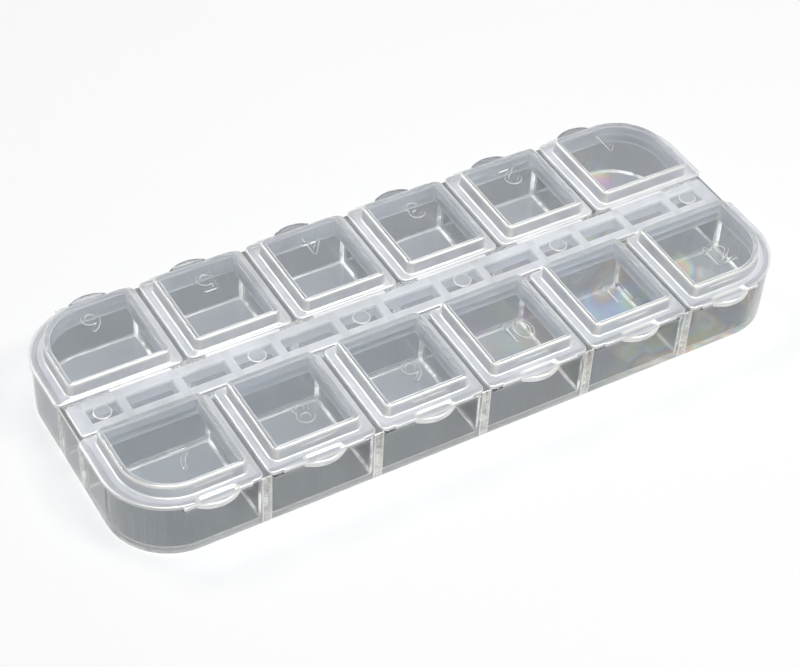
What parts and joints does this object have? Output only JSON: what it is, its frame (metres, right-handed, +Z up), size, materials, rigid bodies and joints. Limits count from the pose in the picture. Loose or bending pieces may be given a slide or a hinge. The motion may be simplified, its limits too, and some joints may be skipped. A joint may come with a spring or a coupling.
{
  "type": "individual lid bead organizer",
  "caption": "Flat clear tray divided into small compartments in rows, each closed by its own flip-up lid that hangs by a living hinge from a strip along the middle.",
  "frame": {"origin": "middle of the tray's underside, on the surface it stands on", "axes": "+X along the length, with the lids numbered highest on the front right; +Y from the front row to the back row; +Z up, out of the compartments"},
  "size_m": [0.1298, 0.0534, 0.0142],
  "materials": {
    "clear_polystyrene": "clear injection-moulded polystyrene, high gloss",
    "natural_polypropylene": "natural, slightly milky injection-moulded polypropylene, gloss"
  },
  "bodies": {
    "tray_body": {"tray": "clear_polystyrene", "spine": "natural_polypropylene", "hinge_web_01": "natural_polypropylene", "hinge_web_02": "natural_polypropylene", "hinge_web_03": "natural_polypropylene", "hinge_web_04": "natural_polypropylene", "hinge_web_05": "natural_polypropylene", "hinge_web_06": "natural_polypropylene", "hinge_web_07": "natural_polypropylene", "hinge_web_08": "natural_polypropylene", "hinge_web_09": "natural_polypropylene", "hinge_web_10": "natural_polypropylene", "hinge_web_11": "natural_polypropylene", "hinge_web_12": "natural_polypropylene"},
    "lid_01": {"lid_01": "natural_polypropylene"},
    "lid_02": {"lid_02": "natural_polypropylene"},
    "lid_03": {"lid_03": "natural_polypropylene"},
    "lid_04": {"lid_04": "natural_polypropylene"},
    "lid_05": {"lid_05": "natural_polypropylene"},
    "lid_06": {"lid_06": "natural_polypropylene"},
    "lid_07": {"lid_07": "natural_polypropylene"},
    "lid_08": {"lid_08": "natural_polypropylene"},
    "lid_09": {"lid_09": "natural_polypropylene"},
    "lid_10": {"lid_10": "natural_polypropylene"},
    "lid_11": {"lid_11": "natural_polypropylene"},
    "lid_12": {"lid_12": "natural_polypropylene"}
  },
  "joints": [
    {"name": "lid_01_hinge", "type": "hinge", "parent": "tray_body", "child": "lid_01", "pos_m": [0.0499, 0.0039, 0.0112], "axis": [1, 0, 0], "range_deg": [0, 90], "deforming": ["hinge_web_01"]},
    {"name": "lid_02_hinge", "type": "hinge", "parent": "tray_body", "child": "lid_02", "pos_m": [0.0309, 0.0039, 0.0112], "axis": [1, 0, 0], "range_deg": [0, 90], "deforming": ["hinge_web_02"]},
    {"name": "lid_03_hinge", "type": "hinge", "parent": "tray_body", "child": "lid_03", "pos_m": [0.0103, 0.0039, 0.0112], "axis": [1, 0, 0], "range_deg": [0, 90], "deforming": ["hinge_web_03"]},
    {"name": "lid_04_hinge", "type": "hinge", "parent": "tray_body", "child": "lid_04", "pos_m": [-0.0103, 0.0039, 0.0112], "axis": [1, 0, 0], "range_deg": [0, 90], "deforming": ["hinge_web_04"]},
    {"name": "lid_05_hinge", "type": "hinge", "parent": "tray_body", "child": "lid_05", "pos_m": [-0.0309, 0.0039, 0.0112], "axis": [1, 0, 0], "range_deg": [0, 90], "deforming": ["hinge_web_05"]},
    {"name": "lid_06_hinge", "type": "hinge", "parent": "tray_body", "child": "lid_06", "pos_m": [-0.0499, 0.0039, 0.0112], "axis": [1, 0, 0], "range_deg": [0, 90], "deforming": ["hinge_web_06"]},
    {"name": "lid_07_hinge", "type": "hinge", "parent": "tray_body", "child": "lid_07", "pos_m": [-0.0499, -0.0039, 0.0112], "axis": [-1, 0, 0], "range_deg": [0, 90], "deforming": ["hinge_web_07"]},
    {"name": "lid_08_hinge", "type": "hinge", "parent": "tray_body", "child": "lid_08", "pos_m": [-0.0309, -0.0039, 0.0112], "axis": [-1, 0, 0], "range_deg": [0, 90], "deforming": ["hinge_web_08"]},
    {"name": "lid_09_hinge", "type": "hinge", "parent": "tray_body", "child": "lid_09", "pos_m": [-0.0103, -0.0039, 0.0112], "axis": [-1, 0, 0], "range_deg": [0, 90], "deforming": ["hinge_web_09"]},
    {"name": "lid_10_hinge", "type": "hinge", "parent": "tray_body", "child": "lid_10", "pos_m": [0.0103, -0.0039, 0.0112], "axis": [-1, 0, 0], "range_deg": [0, 90], "deforming": ["hinge_web_10"]},
    {"name": "lid_11_hinge", "type": "hinge", "parent": "tray_body", "child": "lid_11", "pos_m": [0.0309, -0.0039, 0.0112], "axis": [-1, 0, 0], "range_deg": [0, 90], "deforming": ["hinge_web_11"]},
    {"name": "lid_12_hinge", "type": "hinge", "parent": "tray_body", "child": "lid_12", "pos_m": [0.0499, -0.0039, 0.0112], "axis": [-1, 0, 0], "range_deg": [0, 90], "deforming": ["hinge_web_12"]}
  ]
}
